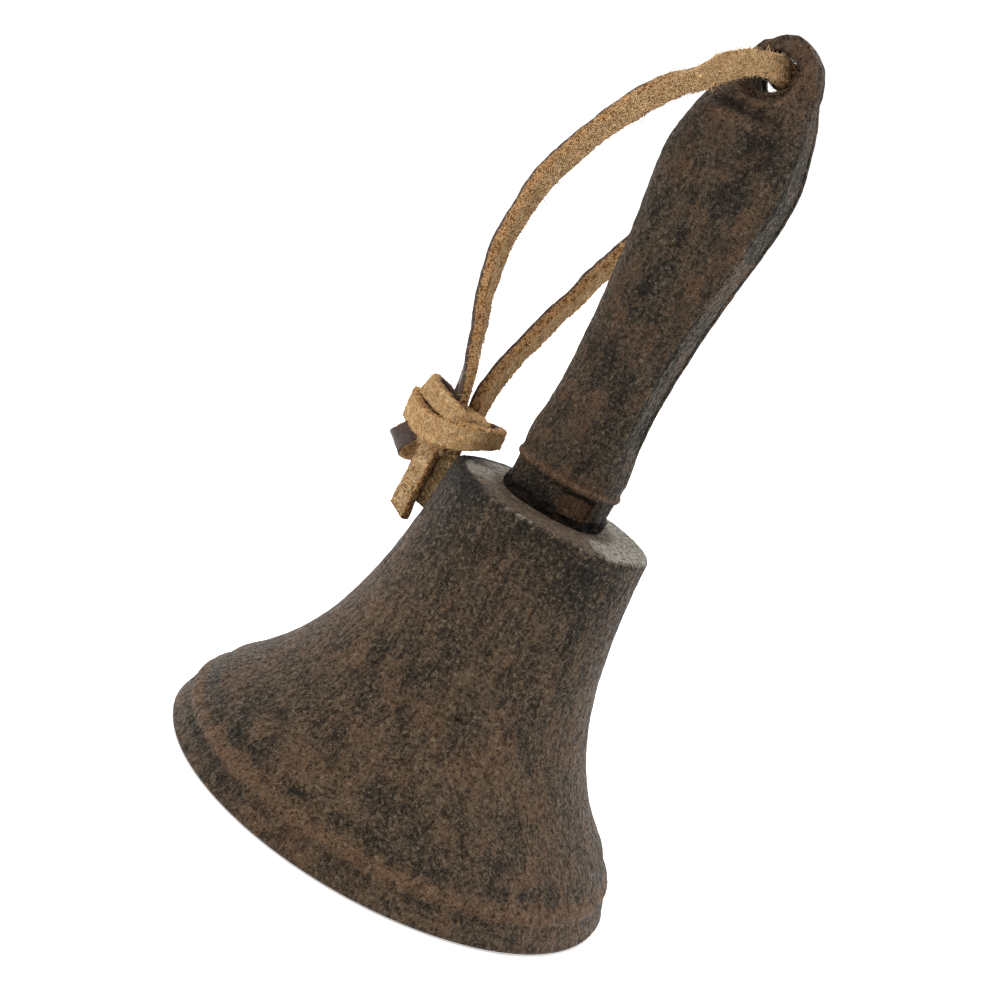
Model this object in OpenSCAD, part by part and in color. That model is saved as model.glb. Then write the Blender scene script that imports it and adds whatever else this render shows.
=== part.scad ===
// Yard dinner bell: a flared cast iron bell with a bolted cast handle, a free
// clapper inside, and a knotted leather thong through the eye of the handle.
// +Z is up. The origin is the centre of the mouth, on the surface the bell
// stands on. The broad faces of the handle look along -Y and +Y.

/* [Bell] */
// Radius of the mouth
mouth_r = 45; // [43:0.5:47]
// Height of the crown above the mouth
crown_z = 64.7; // [63:0.1:67]
// Radius that the flare runs up to
throat_r = 18.6; // [18:0.1:19.5]
// Height over which the flare shrinks to a third
flare_len = 18.7; // [17.5:0.1:20]
// Height of the steeper band above the mouth
lip_h = 10.4; // [9.5:0.1:11]
// Thickness of the wall
wall = 4; // [3:0.1:4.5]
// Thickness of the crown
crown_t = 4.7; // [4:0.1:5]
// Height of the worn bead round the lip
bead_z = 6.2; // [5:0.1:7]

/* [Handle] */
// Height of the eye at the top of the handle
eye_z = 149.6; // [149:0.1:151]
// Radius of the eye
eye_r = 3.8; // [3.4:0.1:4]
// Half the width of the handle at the eye
head_r = 7.9; // [7.4:0.1:8.2]
// Half the thickness of the handle at the eye
head_d = 5; // [4.5:0.1:5.5]

/* [Fastening] */
// Radius of the threaded shank
bolt_r = 3; // [2.5:0.1:3]
// Depth of the tapped hole in the foot of the handle
tap_depth = 17; // [15:0.5:20]
// Width of the nut across its flats
nut_af = 10; // [9:0.5:11]
// Thickness of the nut
nut_t = 3.2; // [3:0.1:3.5]
// Radius of the washer
washer_r = 7; // [6:0.1:8]
// Thickness of the washer
washer_t = 1.2; // [1:0.1:1.5]

/* [Clapper] */
// Radius of the clapper ball
ball_r = 8; // [7:0.1:8.5]
// Height of the middle of the ball
ball_z = 14; // [13.5:0.1:15]
// Radius of the clapper wire
rod_r = 1.2; // [1:0.05:1.3]
// Radius of the wire of the link
link_r = 1.1; // [0.9:0.05:1.2]

/* [Thong] */
// Width of the leather strip
strip_w = 4.2; // [3.5:0.1:4.4]
// Thickness of the leather strip
strip_t = 2.2; // [1.5:0.1:2.4]

/* [Hidden] */

fine = 96;
wire_fn = 48;

// --- Bell profile -----------------------------------------------------------

edge_r = 0.8;
corner_r = 1.8;
lip_lean = 0.2;
lip_bow = 0.0265;
bead_r = 0.9;
bead_proud = 0.4;
bolt_hole_r = 3.3;
mouth_land = 4.5;
lip_wall = 1.38 * wall;

function lip_r(z) = mouth_r - lip_lean * z - lip_bow * z * z;

function flare(z, from_r, to_r) = to_r + (from_r - to_r) * exp(-(z - lip_h) / flare_len);

function outer_r(z) = z < lip_h ? lip_r(z) : flare(z, lip_r(lip_h), throat_r);

lip_inner_r = lip_r(lip_h) - lip_wall;
mouth_inner_r = mouth_r - mouth_land;

function inner_r(z) = z < lip_h
    ? mouth_inner_r + (lip_inner_r - mouth_inner_r) * z / lip_h
    : flare(z, lip_inner_r, throat_r - wall);

function arc(centre, r, from, to, n) =
    [for (i = [0:n]) let (a = from + (to - from) * i / n) centre + r * [cos(a), sin(a)]];

under_crown_z = crown_z - crown_t;
corner_z = crown_z - corner_r;
inner_corner_r = 3;
inner_corner_z = under_crown_z - inner_corner_r;

bell_profile = concat(
    arc([mouth_r - edge_r, edge_r], edge_r, -90, 0, 6),
    [for (z = [1.5:1.5:corner_z - 1]) [outer_r(z), z]],
    arc([outer_r(corner_z) - corner_r, corner_z], corner_r, 0, 90, 8),
    [[0, crown_z], [0, under_crown_z]],
    arc([inner_r(inner_corner_z) - inner_corner_r, inner_corner_z], inner_corner_r, 90, 0, 6),
    [for (z = [floor(inner_corner_z) - 1:-2:0]) [inner_r(z), z]]);

module bell() {
    color("#4a4440")
    difference() {
        union() {
            rotate_extrude($fn = fine) polygon(bell_profile);
            rotate_extrude($fn = fine)
                translate([outer_r(bead_z) - bead_r + bead_proud, bead_z])
                    circle(r = bead_r, $fn = 24);
        }
        translate([0, 0, under_crown_z - 1])
            cylinder(r = bolt_hole_r, h = crown_t + 2, $fn = wire_fn);
    }
}

// --- Handle -----------------------------------------------------------------

// Each station: height, half width, half depth, half the side band, roundness,
// and how far the middle leans off the axis of the bell
foot_z = crown_z;
head_z = eye_z - 1;
head_band = 1;
head_round = 1.7;
head_lean = -1.15;
stations = [
    [foot_z, 10.0, 9.9, 0.6, 2.0, -0.3],
    [foot_z + 6, 10.1, 9.7, 0.6, 2.0, -0.3],
    [foot_z + 7.6, 9.8, 9.3, 0.8, 2.0, -0.35],
    [foot_z + 11, 9.9, 9.0, 1.5, 2.0, -0.45],
    [foot_z + 17, 8.7, 8.2, 2.3, 2.1, -0.75],
    [foot_z + 24, 8.1, 7.5, 2.8, 2.2, -0.75],
    [foot_z + 36, 8.5, 7.3, 3.0, 2.3, -0.8],
    [foot_z + 48, 9.7, 7.5, 3.0, 2.3, -0.8],
    [foot_z + 58, 11.1, 7.8, 3.0, 2.3, -0.85],
    [foot_z + 66.5, 11.9, 8.0, 3.0, 2.3, -1.0],
    [foot_z + 73, 11.0, 7.7, 2.8, 2.2, -1.1],
    [foot_z + 79, 9.5, 6.2, 2.2, 2.0, -1.15],
    [head_z, head_r, head_d, head_band, head_round, head_lean]];

function slope_at(rows, i) =
    let (a = max(i - 1, 0), b = min(i + 1, len(rows) - 1))
    (rows[b] - rows[a]) / (rows[b][0] - rows[a][0]);

function segment_of(rows, z, i = 0) =
    i >= len(rows) - 2 || z < rows[i + 1][0] ? i : segment_of(rows, z, i + 1);

// One smooth row at height z, by a cubic between the two nearest stations
function row_at(rows, z) =
    let (i = segment_of(rows, z),
         p = rows[i],
         q = rows[i + 1],
         step = q[0] - p[0],
         t = (z - p[0]) / step)
    p * (2 * t * t * t - 3 * t * t + 1) + q * (3 * t * t - 2 * t * t * t)
    + slope_at(rows, i) * step * (t * t * t - 2 * t * t + t)
    + slope_at(rows, i + 1) * step * (t * t * t - t * t);

ring_n = 14;

function blunt(v, roundness) = sign(v) * pow(abs(v), 2 / roundness);

// A domed back and a domed front, joined by the flat side bands
function section(row) =
    [for (side = [1, -1], i = [0:ring_n])
        let (a = 180 * i / ring_n)
        [side * row[1] * blunt(cos(a), row[4]) + row[5],
         side * (row[3] + (row[2] - row[3]) * blunt(sin(a), row[4])),
         row[0]]];

ring_gap = 3;
body_heights = [for (k = [0:27]) foot_z + ring_gap * k];
head_angles = [0:12:84];

// Above the eye the sections shrink into the slightly pointed end
head_h = 8.4;
head_point = 1.7;
head_taper = 0.35;
function head_row(a) =
    [head_z + head_h * blunt(sin(a), head_point), head_r * blunt(cos(a), head_point),
     head_d * pow(cos(a), head_taper), head_band * pow(cos(a), head_taper), head_round,
     head_lean];

handle_rings = concat(
    [for (z = body_heights) section(row_at(stations, z))],
    [for (a = head_angles) section(head_row(a))]);

module loft(rings) {
    n = len(rings[0]);
    m = len(rings);
    points = [for (ring = rings, p = ring) p];
    sides = [for (j = [0:m - 2], i = [0:n - 1], half = [0, 1])
        let (k = (i + 1) % n, low = j * n, high = (j + 1) * n)
        half == 0 ? [low + i, high + k, low + k] : [low + i, high + i, high + k]];
    bottom = [for (i = [0:n - 1]) i];
    top = [for (i = [n - 1:-1:0]) (m - 1) * n + i];
    polyhedron(points, concat([bottom, top], sides), convexity = 4);
}

eye_x = -1.3;
pocket_turn = 47;
pocket_w = 5.2;
pocket_h = 3.8;
pocket_z = foot_z + 1.8;
pocket_floor = 8.8;
clear_of_foot = 12;
clear_of_head = 20;

module handle() {
    color("#46403c")
    difference() {
        loft(handle_rings);
        translate([eye_x, clear_of_head, eye_z])
            rotate([90, 0, 0]) cylinder(r = eye_r, h = 2 * clear_of_head, $fn = wire_fn);
        translate([0, 0, foot_z - 1])
            cylinder(r = bolt_r, h = tap_depth + 1, $fn = wire_fn);
        rotate([0, 0, pocket_turn])
            translate([-pocket_w / 2, -clear_of_foot, pocket_z])
                cube([pocket_w, clear_of_foot - pocket_floor, pocket_h]);
    }
}

// --- Fastening --------------------------------------------------------------

nut_top_z = under_crown_z - washer_t;
nut_z = nut_top_z - nut_t;
bolt_wire_r = 1.5;
bolt_eye_r = 3.6;
nut_gap = 0.3;
bolt_eye_z = nut_z - nut_gap - bolt_wire_r - bolt_eye_r;
shank_z = bolt_eye_z + bolt_eye_r;
shank_top_z = foot_z + tap_depth - 2;

module wire_ring(r, wire) {
    rotate([90, 0, 0])
        rotate_extrude($fn = wire_fn) translate([r, 0]) circle(r = wire, $fn = 24);
}

module eye_bolt() {
    color("#5a5653")
    union() {
        translate([0, 0, bolt_eye_z]) wire_ring(bolt_eye_r, bolt_wire_r);
        translate([0, 0, shank_z]) cylinder(r = bolt_r, h = shank_top_z - shank_z, $fn = wire_fn);
    }
}

module lock_nut() {
    corner = nut_af / sqrt(3);
    bevel = 0.5;
    color("#6b6763")
    translate([0, 0, nut_z])
    difference() {
        intersection() {
            cylinder(r = corner, h = nut_t, $fn = 6);
            rotate_extrude($fn = fine)
                polygon([[0, 0], [corner - 2 * bevel, 0], [corner, bevel],
                         [corner, nut_t - bevel], [corner - 2 * bevel, nut_t], [0, nut_t]]);
        }
        translate([0, 0, -1]) cylinder(r = bolt_r, h = nut_t + 2, $fn = wire_fn);
    }
}

module crown_washer() {
    color("#77726c")
    translate([0, 0, nut_top_z])
    difference() {
        cylinder(r = washer_r, h = washer_t, $fn = fine);
        translate([0, 0, -1]) cylinder(r = bolt_r + 0.2, h = washer_t + 2, $fn = wire_fn);
    }
}

// --- Clapper ----------------------------------------------------------------

contact_gap = 0.05;
bolt_wire_z = bolt_eye_z - bolt_eye_r;
link_half_w = 3.2;
link_top_z = bolt_wire_z + bolt_wire_r + link_r + contact_gap;
link_drop = 5.6;
link_low_z = bolt_wire_z - link_drop;
rod_eye_r = 3;
rod_eye_z = link_low_z + link_r + contact_gap + rod_r - rod_eye_r;
rod_sink = 2;
rod_low_z = ball_z - rod_sink;

module clapper_link() {
    arc_top_z = link_top_z - link_half_w;
    arc_low_z = link_low_z + link_half_w;
    color("#6b6763")
    rotate([0, 0, 90])
    union() {
        for (end = [[arc_top_z, 0], [arc_low_z, 180]])
            translate([0, 0, end[0]]) rotate([90, end[1], 0])
                rotate_extrude(angle = 180, $fn = wire_fn)
                    translate([link_half_w, 0]) circle(r = link_r, $fn = 24);
        for (x = [-link_half_w, link_half_w])
            translate([x, 0, arc_low_z])
                cylinder(r = link_r, h = arc_top_z - arc_low_z, $fn = 24);
    }
}

module clapper_rod() {
    color("#5f5b57")
    union() {
        translate([0, 0, rod_eye_z]) wire_ring(rod_eye_r, rod_r);
        translate([0, 0, rod_low_z])
            cylinder(r = rod_r, h = rod_eye_z - rod_eye_r - rod_low_z, $fn = wire_fn);
    }
}

module clapper_ball() {
    neck_r = 2.6;
    neck_top = ball_r + 1.2;
    color("#3f3b38")
    translate([0, 0, ball_z])
    difference() {
        union() {
            sphere(r = ball_r, $fn = fine);
            cylinder(r = neck_r, h = neck_top, $fn = wire_fn);
        }
        translate([0, 0, -rod_sink])
            cylinder(r = rod_r, h = rod_sink + neck_top + 1, $fn = wire_fn);
    }
}

// --- Thong ------------------------------------------------------------------

// The front leg, from the middle of the eye round the left of the handle
front_route = [
    [-1.5, 0, 150.2], [-1.9, -3, 150.3], [-3.2, -5.9, 149.8], [-5.4, -7.9, 148.4],
    [-8, -8.8, 146], [-10.5, -9, 143], [-13.5, -9.5, 140.5], [-17.5, -9, 136.5],
    [-21.5, -8, 131.5], [-25, -7.5, 126], [-28.5, -6.5, 119.5], [-30.5, -6, 114.5],
    [-31.5, -5.5, 108.5], [-32, -5.5, 102.5], [-31.5, -5, 97], [-30.5, -4.5, 91],
    [-29, -4, 86.5], [-28, -3.5, 82], [-27, -3, 78.5], [-26.5, -2.5, 75], [-26, -2, 71]];

// The back leg, from the middle of the eye down behind the handle
back_route = [
    [-1.5, 0, 150.2], [-1.5, 3, 150.3], [-1.9, 5.8, 149.7], [-2.5, 8.3, 147.4],
    [-3.5, 9.7, 144], [-5, 10.5, 140], [-7, 11, 134.5], [-9.5, 11.5, 128.5],
    [-12, 11.5, 122.5], [-14.5, 11, 117], [-16.5, 10.5, 112], [-18, 10, 107.5],
    [-19.5, 9, 103], [-20.5, 8.5, 98.5], [-22, 7.5, 94], [-23, 6.5, 89],
    [-24, 5, 84], [-24.5, 3.5, 79], [-24.5, 2.5, 75], [-24, 2, 71]];

// The two tails that hang from the knot
front_tail = [
    [-26.4, -3, 64], [-26.4, -3, 60], [-26.4, -3, 56], [-26.4, -3, 52], [-26.2, -3, 48.5]];
back_tail = [[-24.6, 0.5, 64], [-24.4, 0.5, 60], [-24.4, 0.5, 56], [-24.4, 0.5, 51]];

function unit(v) = v / norm(v);

function heading(route, i) =
    unit(route[min(i + 1, len(route) - 1)] - route[max(i - 1, 0)]);

function across(v, along) = unit(v - (v * along) * along);

// The flat side of the strip, carried along the route with no twist of its own
function flat_normals(route, first) =
    [for (i = 0, n = across(first, heading(route, 0)); i < len(route);
          i = i + 1, n = across(n, heading(route, min(i, len(route) - 1)))) n];

strip_corner = 0.4;
strip_section = [
    for (q = [[1, 1], [-1, 1], [-1, -1], [1, -1]], late = [0, 1])
        let (swap = q[0] * q[1] > 0 ? late : 1 - late)
        [q[0] * (strip_w / 2 - strip_corner * swap),
         q[1] * (strip_t / 2 - strip_corner * (1 - swap))]];

// A flat strip swept along a route; it turns by twist degrees from end to end
module strip(route, first, twist = 0) {
    normals = flat_normals(route, first);
    last = len(route) - 1;
    loft([for (i = [0:last])
        let (n = normals[i],
             b = cross(heading(route, i), n),
             a = twist * i / last,
             flat = cos(a) * n + sin(a) * b,
             side = cos(a) * b - sin(a) * n)
        [for (s = strip_section) route[i] + s[0] * side + s[1] * flat]]);
}

front_first = [-0.85, 0, -0.53];
back_first = [-0.92, 0, 0.397];
front_tail_flat = [0.1, 0.99, 0];
back_tail_flat = [-0.41, 0.91, 0];
front_twist = -140;
back_twist = 2;

module thong_front() {
    color("#b08a5e") strip(front_route, front_first, front_twist);
}

module thong_back() {
    color("#a9835a") strip(back_route, back_first, back_twist);
}

module thong_tails() {
    color("#b08a5e") {
        strip(front_tail, front_tail_flat);
        strip(back_tail, back_tail_flat);
    }
}

module thong_knot() {
    lobes = [[-32.5, -1.5, 69.5, 4.5], [-33.5, -0.5, 62.5, 3.5], [-26.5, -1, 69, 5], [-20.5, -0.5, 70, 4]];
    color("#b8925f")
    hull() {
        for (lobe = lobes)
            translate([lobe[0], lobe[1], lobe[2]]) sphere(r = lobe[3], $fn = 24);
    }
}

bell();
handle();
eye_bolt();
lock_nut();
crown_washer();
clapper_link();
clapper_rod();
clapper_ball();
thong_front();
thong_back();
thong_knot();
thong_tails();
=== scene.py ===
"""A yard dinner bell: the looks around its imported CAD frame.

A flared cast iron bell stands on its mouth. A cast handle is bolted to its crown, a ball clapper
hangs inside, and a knotted leather thong runs through the eye of the handle. Lengths are in metres.
"""

import math

import bmesh
import bpy
import numpy as np
from mathutils import Matrix, Vector, noise


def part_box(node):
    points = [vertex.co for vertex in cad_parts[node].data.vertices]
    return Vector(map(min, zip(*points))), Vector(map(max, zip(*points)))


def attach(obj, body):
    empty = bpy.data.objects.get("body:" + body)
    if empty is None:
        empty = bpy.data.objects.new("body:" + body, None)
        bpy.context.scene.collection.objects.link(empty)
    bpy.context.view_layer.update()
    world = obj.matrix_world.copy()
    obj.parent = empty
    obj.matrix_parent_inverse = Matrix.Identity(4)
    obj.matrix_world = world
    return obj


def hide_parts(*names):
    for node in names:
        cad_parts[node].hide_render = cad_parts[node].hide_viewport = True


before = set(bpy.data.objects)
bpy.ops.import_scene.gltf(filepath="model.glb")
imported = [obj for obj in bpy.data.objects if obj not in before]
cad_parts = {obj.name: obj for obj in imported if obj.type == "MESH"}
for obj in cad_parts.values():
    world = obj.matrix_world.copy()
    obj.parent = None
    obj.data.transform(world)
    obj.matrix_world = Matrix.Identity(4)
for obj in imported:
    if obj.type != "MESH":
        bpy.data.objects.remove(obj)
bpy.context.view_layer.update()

mm = 0.001
rng = np.random.default_rng(7)


def new_object(name, data):
    piece = bpy.data.objects.new(name, data)
    bpy.context.scene.collection.objects.link(piece)
    return piece


# --- Camera ---

def add_camera():
    """Level with the grip, a little to the right of the front, looking down, and rolled."""
    azimuth, yaw, pitch, roll = (math.radians(a) for a in (24.0, 1.72, 11.66, 28.53))
    away, height = 295.2 * mm, 122.1 * mm
    heading = azimuth + yaw
    forward = Vector((-math.sin(heading) * math.cos(pitch),
                      math.cos(heading) * math.cos(pitch), -math.sin(pitch)))
    level = Vector((math.cos(heading), math.sin(heading), 0))
    right = math.cos(roll) * level + math.sin(roll) * level.cross(forward)
    up = right.cross(forward)
    place = Matrix.Translation((away * math.sin(azimuth), -away * math.cos(azimuth), height))
    camera = new_object("camera", bpy.data.cameras.new("camera"))
    camera.matrix_world = place @ Matrix((right, up, -forward)).transposed().to_4x4()
    camera.data.sensor_width = 36
    camera.data.lens = 59.47
    camera.data.clip_start, camera.data.clip_end = 0.01, 50
    bpy.context.scene.camera = camera


add_camera()


# --- Shapes ---

def grid_faces(rows, columns, closed_rows=False):
    """The quads between rows of points, each of which is a closed ring of columns points."""
    i = np.arange(rows if closed_rows else rows - 1)[:, None]
    j = np.arange(columns)[None, :]
    low, high = i * columns, (i + 1) % rows * columns
    beside = (j + 1) % columns
    return np.stack([low + j, low + beside, high + beside, high + j], -1).reshape(-1, 4)


def build(name, points, faces, zones, materials):
    """A smooth mesh object. zones holds the material's index for each face."""
    mesh = bpy.data.meshes.new(name)
    mesh.from_pydata(np.asarray(points).tolist(), [], [list(f) for f in faces])
    for material in materials:
        mesh.materials.append(material)
    mesh.polygons.foreach_set("material_index", np.asarray(zones, np.int32))
    mesh.polygons.foreach_set("use_smooth", np.ones(len(mesh.polygons), bool))
    mesh.update()
    return new_object(name, mesh)


def arc(centre, radius, start, end, count):
    a = np.radians(np.linspace(start, end, count))
    return np.stack([centre[0] + radius * np.cos(a), centre[1] + radius * np.sin(a)], 1)


def resampled(points, spacing):
    """The same open line of points, evenly spaced."""
    along = np.concatenate([[0], np.cumsum(np.linalg.norm(np.diff(points, axis=0), axis=1))])
    at = np.linspace(0, along[-1], max(2, int(along[-1] / spacing)))
    return np.stack([np.interp(at, along, points[:, k]) for k in range(2)], 1)


def lathe(name, profile, segments, material):
    """A closed outline of (radius, height) turned round Z, as a piece and its points."""
    radius, height = profile.T
    angles = np.arange(segments) * 2 * np.pi / segments
    points = np.stack([np.outer(radius, np.cos(angles)), np.outer(radius, np.sin(angles)),
                       np.repeat(height[:, None], segments, 1)], -1).reshape(-1, 3)
    faces = grid_faces(len(profile), segments, closed_rows=True)[:, ::-1]
    return build(name, points, faces, np.zeros(len(faces)), [material]), points


def radius_of(points):
    return np.hypot(points[:, 0], points[:, 1])


def rows_of(things, field):
    """A row of three numbers for each thing, such as the place of each vertex."""
    flat = np.zeros(len(things) * 3, np.float32)
    things.foreach_get(field, flat)
    return flat.reshape(-1, 3).astype(float)


def move_out(mesh, amounts):
    """Moves each vertex along its normal."""
    co = rows_of(mesh.vertices, "co") + rows_of(mesh.vertex_normals, "vector") * amounts[:, None]
    mesh.vertices.foreach_set("co", co.astype(np.float32).ravel())
    mesh.update()


def rough(points, size, octaves=3, seed=0.0):
    """Smooth noise from about -1 to 1 at each point, with lumps about size across."""
    return np.array([noise.fractal((x / size + seed, y / size, z / size), 1.0, 2.0, octaves)
                     for x, y, z in points])


def step(x, low, high):
    """A smooth step from 0 at low to 1 at high."""
    t = np.clip((x - low) / (high - low), 0, 1)
    return t * t * (3 - 2 * t)


def hump(x, centre, width):
    """A smooth hump, 1 at its centre and nearly 0 at twice its width away."""
    return np.exp(-((x - centre) / width) ** 2)


def unit(v):
    return v / np.linalg.norm(v, axis=-1, keepdims=True)


def settle(piece):
    """Applies the piece's modifiers."""
    shown = piece.evaluated_get(bpy.context.evaluated_depsgraph_get())
    mesh = bpy.data.meshes.new_from_object(shown)
    piece.modifiers.clear()
    piece.data = mesh
    mesh.polygons.foreach_set("use_smooth", np.ones(len(mesh.polygons), bool))


def paint_masks(mesh, **masks):
    """Values from 0 to 1 at the vertices, which the piece's material reads by name."""
    for name, values in masks.items():
        mask = mesh.attributes.new(name, "FLOAT", "POINT")
        mask.data.foreach_set("value", np.clip(values, 0, 1).astype(np.float32))


def paint_flow(mesh, places):
    """A place at each vertex, which the streaks of the piece's material follow."""
    flow = mesh.attributes.new("flow", "FLOAT_VECTOR", "POINT")
    flow.data.foreach_set("vector", places.astype(np.float32).ravel())


# --- Materials ---

def add_node(tree, kind, inputs=(), **settings):
    """A node with its settings and its inputs, each of which is a value or another node's socket."""
    node = tree.nodes.new(kind)
    for key, value in settings.items():
        setattr(node, key, value)
    for key, value in dict(inputs).items():
        if isinstance(value, bpy.types.NodeSocket):
            tree.links.new(value, node.inputs[key])
        else:
            node.inputs[key].default_value = value
    return node


class Paint:
    """A material and its nodes, made with short calls."""

    def __init__(self, name, **uniform):
        self.material = bpy.data.materials.new(name)
        self.material.use_nodes = True
        self.tree = self.material.node_tree
        self.shader = self.tree.nodes["Principled BSDF"]
        for socket, value in uniform.items():
            self.shader.inputs[socket.replace("_", " ")].default_value = value
        self.place = self.add("ShaderNodeTexCoord").outputs["Object"]

    def add(self, kind, inputs=(), **settings):
        return add_node(self.tree, kind, inputs, **settings)

    def link(self, value, socket):
        self.tree.links.new(value, self.shader.inputs[socket])

    def mask(self, name):
        return self.add("ShaderNodeAttribute", attribute_name=name).outputs["Fac"]

    def stretched(self, x, y, z):
        """The place of each point, scaled along the axes."""
        return self.add("ShaderNodeMapping", {"Vector": self.place, "Scale": (x, y, z)}).outputs[0]

    def shaken(self, size, reach):
        """The place of each point, shifted by noise, so that cells get crooked edges."""
        shift = self.add("ShaderNodeTexNoise", {"Vector": self.place, "Scale": 1 / size}).outputs["Color"]
        shift = self.add("ShaderNodeVectorMath", {0: shift, "Scale": reach}, operation="SCALE").outputs[0]
        return self.add("ShaderNodeVectorMath", {0: self.place, 1: shift}).outputs[0]

    def grain(self, size, detail=3.0, roughness=0.55, distortion=0.0, place=None):
        """Noise around 0.5 with lumps about size across."""
        return self.add("ShaderNodeTexNoise", {
            "Vector": place or self.place, "Scale": 1 / size, "Detail": detail,
            "Roughness": roughness, "Distortion": distortion}).outputs[0]

    def cells(self, size, place=None, feature="F1"):
        """How far each point is from its cell's middle, or from its edge. Cells are about size across."""
        return self.add("ShaderNodeTexVoronoi", {"Vector": place or self.place, "Scale": 1 / size},
                        feature=feature).outputs["Distance"]

    def plus(self, a, b):
        return self.add("ShaderNodeMath", {0: a, 1: b}, operation="ADD").outputs[0]

    def times(self, a, b):
        return self.add("ShaderNodeMath", {0: a, 1: b}, operation="MULTIPLY").outputs[0]

    def between(self, value, low, high, to_low=0.0, to_high=1.0):
        """A smooth step, from to_low where value is low to to_high where it is high."""
        return self.add("ShaderNodeMapRange", {
            "Value": value, "From Min": low, "From Max": high, "To Min": to_low, "To Max": to_high},
            interpolation_type="SMOOTHSTEP").outputs[0]

    def mix(self, share, a, b):
        """The colour a where share is 0 and the colour b where it is 1."""
        return self.add("ShaderNodeMix", {0: share, 6: a, 7: b}, data_type="RGBA").outputs[2]

    def bump(self, height, distance):
        return self.add("ShaderNodeBump", {"Height": height, "Distance": distance}).outputs[0]


def colour(red, green, blue):
    """A colour from its screen values, 0 to 255."""
    return tuple((v / 255 / 12.92 if v / 255 < 0.04045 else ((v / 255 + 0.055) / 1.055) ** 2.4)
                 for v in (red, green, blue)) + (1.0,)


# Cast iron: the slate of its patches, its worn places with painted highlights, painted shade in the
# hollows between its lumps, painted highlights on its pale grains, painted shade in its pores, in the
# cracks in its crust and in its pits, soot with painted shade, and the powder that lies on it with a
# painted sheen
SLATE, WORN_AND_HIGHLIGHT = colour(88, 79, 63), colour(124, 93, 69)
HOLLOW_SHADE, SPECK_HIGHLIGHT = colour(34, 26, 18), colour(152, 133, 108)
PORE_SHADE, CRACK_SHADE, PIT_SHADE, SOOT_AND_SHADE = colour(26, 19, 12), colour(20, 14, 8), colour(14, 10, 6), colour(28, 22, 15)
POWDER_AND_SHEEN = colour(124, 115, 100), colour(204, 196, 180)


def cast_iron(name, flow=None, brown_share=0.5, streaky=1.9, pore_spread=0.018, specks=0.6,
              deep=(57, 51, 40), browns=((112, 86, 65), (103, 85, 66))):
    """Sand-cast iron: gritty all over, rust brown with slate patches, and nearly black in its pores,
    where shade is painted.

    The masks on the mesh give wear with painted highlights, soot with painted shade, and dust with a
    painted sheen, and flow names the attribute that the streaks follow.
    streaky is how strongly they show, pore_spread how much the pores differ between slate and brown,
    and specks how strong the painted highlights on the pale grains are. deep is slate under soot and
    painted shade, and browns are the rust."""
    p = Paint(name, Metallic=0.0, IOR=1.45, Specular_IOR_Level=0.19)
    place = p.place
    if flow:
        place = p.add("ShaderNodeAttribute", attribute_name=flow).outputs["Vector"]
    patches = p.grain(13 * mm, 4, 0.6, 0.6)
    streaks = p.grain(3.0 * mm, 4, 0.62, place=place)
    lumps = p.grain(1.5 * mm, 2, 0.5, 0.8, place=place)
    grit = p.grain(0.8 * mm, 3, 0.6, 0.4)
    sand = p.grain(0.36 * mm, 1, 0.5)
    seams = p.cells(1.05 * mm, place=p.shaken(0.7 * mm, 1.3 * mm), feature="DISTANCE_TO_EDGE")
    pits = p.cells(2.6 * mm)
    worn, soot, dust = p.mask("worn"), p.mask("soot"), p.mask("dust")

    # level is low where the iron is slate and high where it is brown
    level = p.plus(p.plus(patches, -0.5), p.times(p.plus(streaks, -0.5), streaky))
    # wear and painted highlights push it towards brown, soot and painted shade towards slate
    level = p.plus(p.plus(level, p.times(worn, 0.5)), p.times(soot, -0.55))
    slate = p.mix(p.between(soot, 0.1, 0.7), SLATE, colour(*deep))
    rust = p.mix(p.between(p.grain(7 * mm, 4), 0.35, 0.65), colour(*browns[0]), colour(*browns[1]))
    face = p.mix(p.between(level, -0.10 - brown_share, 0.70 - brown_share), slate, rust)
    # lighter brown where it is worn and where highlights are painted
    face = p.mix(p.times(worn, 0.85), face, WORN_AND_HIGHLIGHT)
    # painted shade in the hollows between the lumps
    face = p.mix(p.between(lumps, 0.30, 0.52, 0.5, 0.0), face, HOLLOW_SHADE)

    # painted highlights on the sand's grains and painted shade in the pores between them, with more pores
    # in slate, and painted shade in the cracks of the crust and in the pits
    height = p.plus(p.times(grit, 0.65), p.times(sand, 0.35))
    fewer = p.between(level, -0.6, 0.4, -0.01 - pore_spread, pore_spread - 0.01)
    cracks = p.times(p.between(seams, 0.0, 0.11, 1.0, 0.0), p.between(level, -0.3, 0.3, 0.6, 0.12))
    face = p.mix(p.between(height, 0.52, 0.66, 0.0, specks), face, SPECK_HIGHLIGHT)
    face = p.mix(p.between(p.plus(height, fewer), 0.37, 0.50, 0.75, 0.0), face, PORE_SHADE)
    face = p.mix(cracks, face, CRACK_SHADE)
    face = p.mix(p.between(pits, 0.03, 0.09, 0.8, 0.0), face, PIT_SHADE)
    # nearly black where soot and painted shade are strongest
    face = p.mix(p.between(soot, 0.80, 1.0, 0.0, 0.6), face, SOOT_AND_SHADE)
    # pale where powder lies and where a sheen and glints are painted
    face = p.mix(dust, face, p.mix(p.between(grit, 0.35, 0.6), *POWDER_AND_SHEEN))
    p.link(face, "Base Color")
    p.link(p.between(height, 0.35, 0.62, 0.75, 0.45), "Roughness")
    height = p.plus(height, p.times(lumps, 0.9))
    height = p.plus(height, p.times(cracks, -0.12))
    height = p.plus(height, p.between(pits, 0.0, 0.12, -0.3, 0.0))
    p.link(p.bump(height, 2.8 * mm), "Normal")
    return p.material


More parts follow.
